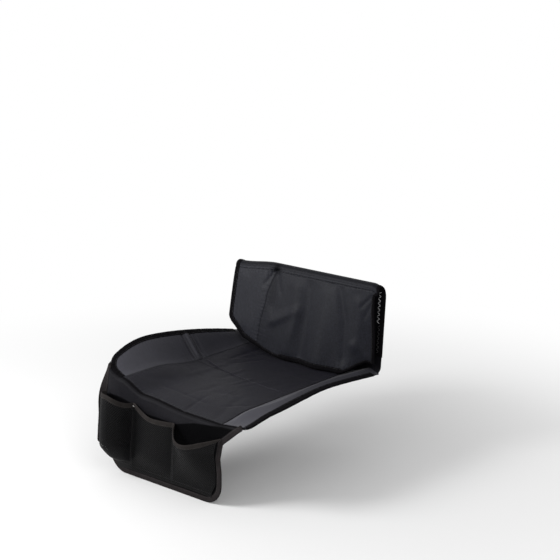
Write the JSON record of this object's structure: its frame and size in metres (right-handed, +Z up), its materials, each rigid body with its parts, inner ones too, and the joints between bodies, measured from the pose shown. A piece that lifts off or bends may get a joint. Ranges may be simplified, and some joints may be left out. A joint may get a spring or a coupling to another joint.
{
  "type": "car seat protector mat",
  "caption": "Sewn cloth mat draped as on a vehicle seat: padded seat cloth with side wings, hanging front flap with mesh pockets, folded back cloth, taped edges.",
  "frame": {"origin": "middle of the flat underside of the seat centre panel, where it lies on the cushion", "axes": "+X across to the side of the gaping pocket, -Y towards the hanging front flap, +Y towards the back cloth, +Z up from the seat cloth"},
  "size_m": [0.4896, 0.5851, 0.4398],
  "materials": {
    "seat_field": "matt",
    "seat_wing": "matt",
    "flap_cloth": "matt",
    "back_cloth": "matt",
    "edge_tape": "matt",
    "rim_tape": "matt",
    "mesh": "matt"
  },
  "bodies": {
    "root": {"seat_centre_panel": "seat_field", "seat_side_panel_left": "seat_wing", "seat_side_panel_right": "seat_wing", "seat_edge_tape_left": "edge_tape", "seat_edge_tape_right": "edge_tape", "front_seam_piping": "edge_tape", "front_flap_panel": "flap_cloth", "front_flap_edge_tape": "edge_tape", "pocket_mesh": "mesh", "pocket_rim_tape": "rim_tape", "back_panel": "back_cloth", "back_panel_edge_tape": "edge_tape"}
  },
  "joints": []
}
